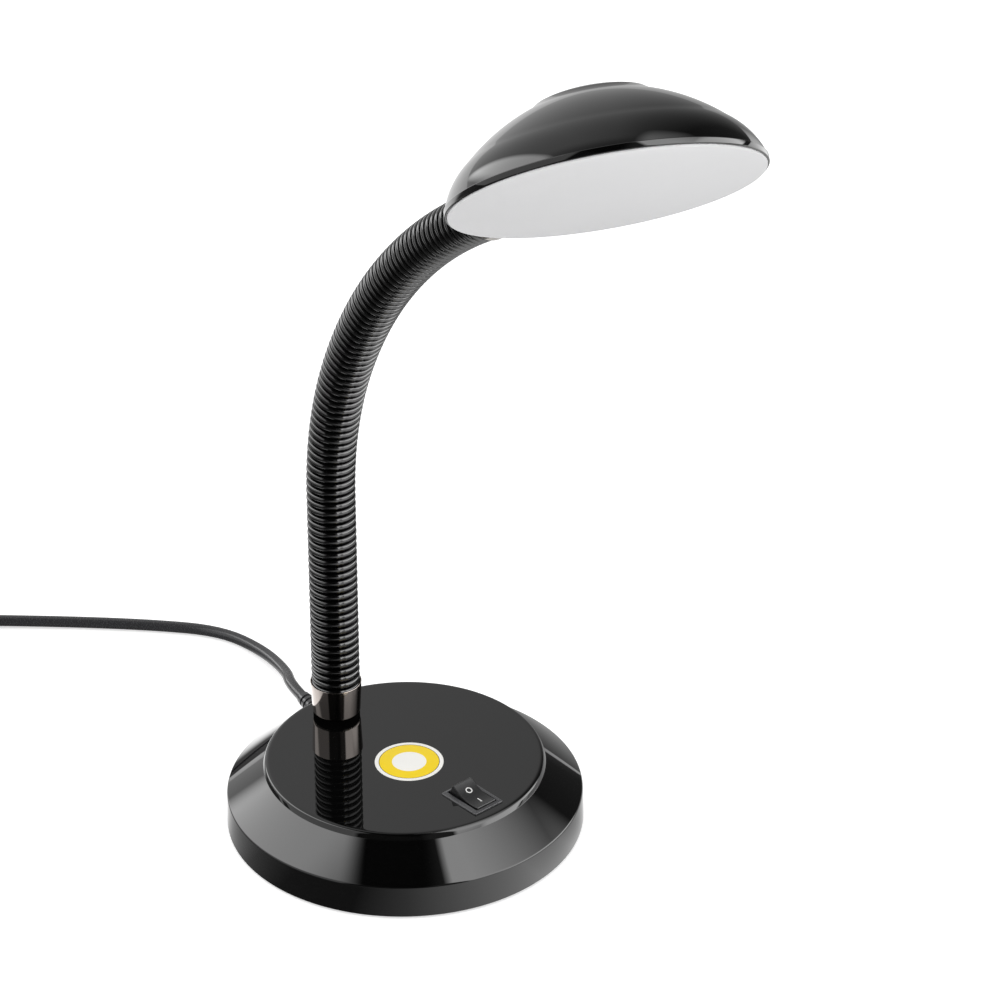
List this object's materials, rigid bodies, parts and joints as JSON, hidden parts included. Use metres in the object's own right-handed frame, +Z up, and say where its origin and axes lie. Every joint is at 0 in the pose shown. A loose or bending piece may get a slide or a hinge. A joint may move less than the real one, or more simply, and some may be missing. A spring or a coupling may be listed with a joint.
{
  "type": "desk lamp",
  "caption": "Gooseneck desk lamp: round weighted foot with a rocker switch, ribbed flexible neck and a shallow closed shade with an opal diffuser, mains lead put away in a coil.",
  "frame": {"origin": "middle of the foot's resting face", "axes": "+Z up, +X to the front, from the neck towards the switch"},
  "size_m": [0.5092, 0.2193, 0.3834],
  "materials": {
    "gloss_black_housing": "injection moulded ABS, high gloss black",
    "gloss_black_shade": "injection moulded ABS, high gloss black",
    "black_lip": "moulded ABS, gloss black",
    "opal_diffuser": "moulded opal polystyrene, satin",
    "neck_cover": "black corrugated PVC cover, semi-gloss",
    "neck_arm": "wound steel arm, blackened",
    "black_nickel": "brass cup, black nickel plated and polished",
    "bare_nickel": "nickel plated and polished",
    "switch_black": "moulded nylon, fine satin",
    "tinned_brass": "stamped brass, tinned",
    "zinc_steel": "zinc plated steel",
    "ballast_iron": "cast iron, raw",
    "black_plate": "moulded polypropylene, fine grain",
    "foot_foam": "cut foam rubber",
    "gasket_rubber": "moulded rubber",
    "board_green": "glass-epoxy board, green mask",
    "component_black": "wound and potted parts",
    "tray_white": "moulded white polystyrene",
    "led_board": "aluminium board, white mask",
    "led_phosphor": "phosphor resin",
    "cord_pvc": "extruded PVC sheath, satin black",
    "tie_pvc": "coated wire tie",
    "plug_pvc": "moulded PVC, satin black",
    "pin_nickel": "nickel plated brass"
  },
  "bodies": {
    "base": {"ballast_weight": "ballast_iron", "base_plate": "black_plate", "base_screws": "zinc_steel", "base_shell": "gloss_black_housing", "clamp_screws": "zinc_steel", "cord": "cord_pvc", "cord_clamp": "black_plate", "cord_coil": "cord_pvc", "cord_plug": "plug_pvc", "cord_tie": "tie_pvc", "driver_board": "board_green", "driver_parts": "component_black", "driver_screws": "zinc_steel", "foot_pad": "foot_foam", "inner_lead": "cord_pvc", "neck_collar": "black_nickel", "neck_core_01": "neck_arm", "neck_gasket": "gasket_rubber", "neck_nipple": "zinc_steel", "neck_nut": "zinc_steel", "neck_sleeve_01": "neck_cover", "neck_washer": "zinc_steel", "plug_pins": "pin_nickel", "strain_relief": "cord_pvc", "switch_housing": "switch_black", "switch_terminals": "tinned_brass"},
    "rocker": {"switch_rocker": "switch_black"},
    "head": {"neck_sleeve_12": "neck_cover", "neck_core_12": "neck_arm", "head_ferrule": "bare_nickel", "shade_shell": "gloss_black_shade", "shade_bezel": "black_lip", "diffuser": "opal_diffuser", "reflector_tray": "tray_white", "led_plate": "led_board", "led_chips": "led_phosphor", "head_screws": "zinc_steel", "head_nipple": "zinc_steel", "head_nut": "zinc_steel"},
    "neck_02": {"neck_sleeve_02": "neck_cover", "neck_core_02": "neck_arm"},
    "neck_03": {"neck_sleeve_03": "neck_cover", "neck_core_03": "neck_arm"},
    "neck_04": {"neck_sleeve_04": "neck_cover", "neck_core_04": "neck_arm"},
    "neck_05": {"neck_sleeve_05": "neck_cover", "neck_core_05": "neck_arm"},
    "neck_06": {"neck_sleeve_06": "neck_cover", "neck_core_06": "neck_arm"},
    "neck_07": {"neck_sleeve_07": "neck_cover", "neck_core_07": "neck_arm"},
    "neck_08": {"neck_sleeve_08": "neck_cover", "neck_core_08": "neck_arm"},
    "neck_09": {"neck_sleeve_09": "neck_cover", "neck_core_09": "neck_arm"},
    "neck_10": {"neck_sleeve_10": "neck_cover", "neck_core_10": "neck_arm"},
    "neck_11": {"neck_sleeve_11": "neck_cover", "neck_core_11": "neck_arm"}
  },
  "joints": [
    {"name": "neck_lower_bend", "type": "hinge", "parent": "base", "child": "neck_02", "pos_m": [-0.0435, 0, 0.06737], "axis": [0, 1, 0], "range_deg": [-12, 12]},
    {"name": "neck_sway", "type": "hinge", "parent": "neck_02", "child": "neck_03", "pos_m": [-0.0435, 0, 0.0907], "axis": [1, 0, 0], "range_deg": [-12, 12]},
    {"name": "neck_lower_bend_2", "type": "hinge", "parent": "neck_03", "child": "neck_04", "pos_m": [-0.0435, 0, 0.11403], "axis": [0, 1, 0], "range_deg": [-12, 12]},
    {"name": "neck_sway_2", "type": "hinge", "parent": "neck_04", "child": "neck_05", "pos_m": [-0.04345, 0, 0.1407], "axis": [0.9997, 0, -0.023], "range_deg": [-12, 12]},
    {"name": "neck_lower_bend_3", "type": "hinge", "parent": "neck_05", "child": "neck_06", "pos_m": [-0.04135, 0, 0.16392], "axis": [0, 1, 0], "range_deg": [-12, 12]},
    {"name": "neck_sway_3", "type": "hinge", "parent": "neck_06", "child": "neck_07", "pos_m": [-0.03614, 0, 0.18665], "axis": [0.9577, 0, -0.2879], "range_deg": [-12, 12]},
    {"name": "neck_upper_bend", "type": "hinge", "parent": "neck_07", "child": "neck_08", "pos_m": [-0.02657, 0, 0.21151], "axis": [0, 1, 0], "range_deg": [-12, 12]},
    {"name": "neck_upper_bend_2", "type": "hinge", "parent": "neck_08", "child": "neck_09", "pos_m": [-0.01554, 0, 0.23206], "axis": [0, 1, 0], "range_deg": [-12, 12]},
    {"name": "neck_upper_bend_3", "type": "hinge", "parent": "neck_09", "child": "neck_10", "pos_m": [-0.0002, 0, 0.25385], "axis": [0, 1, 0], "range_deg": [-12, 12]},
    {"name": "neck_sway_4", "type": "hinge", "parent": "neck_10", "child": "neck_11", "pos_m": [0.01776, 0, 0.27353], "axis": [0.695, 0, -0.719], "range_deg": [-12, 12]},
    {"name": "neck_upper_bend_4", "type": "hinge", "parent": "neck_11", "child": "head", "pos_m": [0.03803, 0, 0.29083], "axis": [0, 1, 0], "range_deg": [-12, 12]},
    {"name": "switch_rocker_tilt", "type": "hinge", "parent": "base", "child": "rocker", "pos_m": [0.0423, 0, 0.0294], "axis": [0, 1, 0], "range_deg": [-20, 0]}
  ],
  "couplings": [
    {"joint": "neck_lower_bend_2", "follows": "neck_lower_bend", "ratio": 1},
    {"joint": "neck_lower_bend_3", "follows": "neck_lower_bend", "ratio": 1},
    {"joint": "neck_sway_2", "follows": "neck_sway", "ratio": 1},
    {"joint": "neck_sway_3", "follows": "neck_sway", "ratio": 1},
    {"joint": "neck_sway_4", "follows": "neck_sway", "ratio": 1},
    {"joint": "neck_upper_bend_2", "follows": "neck_upper_bend", "ratio": 1},
    {"joint": "neck_upper_bend_3", "follows": "neck_upper_bend", "ratio": 1},
    {"joint": "neck_upper_bend_4", "follows": "neck_upper_bend", "ratio": 1}
  ]
}
